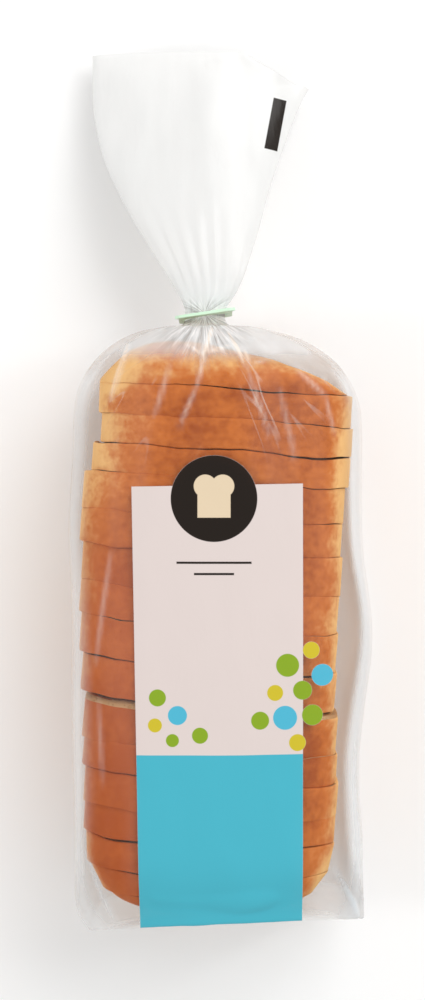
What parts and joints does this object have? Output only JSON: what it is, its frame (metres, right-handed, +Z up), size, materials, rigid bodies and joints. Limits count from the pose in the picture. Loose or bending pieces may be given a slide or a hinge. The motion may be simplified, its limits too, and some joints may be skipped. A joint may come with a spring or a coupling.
{
  "type": "loaf in bread bag",
  "caption": "Sliced white sandwich loaf lying crown up in a clear printed film bag, its neck gathered in a plastic bag clip, with the mouth of the bag fanned out beyond it",
  "frame": {"origin": "on the surface that the bag lies on, below the middle of its overall length and width", "axes": "+Z is up from the surface towards the crown of the loaf, +Y runs along the loaf from the sealed end towards the clip and the open mouth of the bag, +X is to the right when the crown is seen from above with the clip at the top"},
  "size_m": [0.1287, 0.3789, 0.096],
  "materials": {
    "film": "thin clear polyethylene film, creased and slightly hazy",
    "clip_plastic": "thin stamped pale green plastic sheet"
  },
  "bodies": {
    "root": {"bag": "film", "clip": "clip_plastic"}
  },
  "joints": []
}
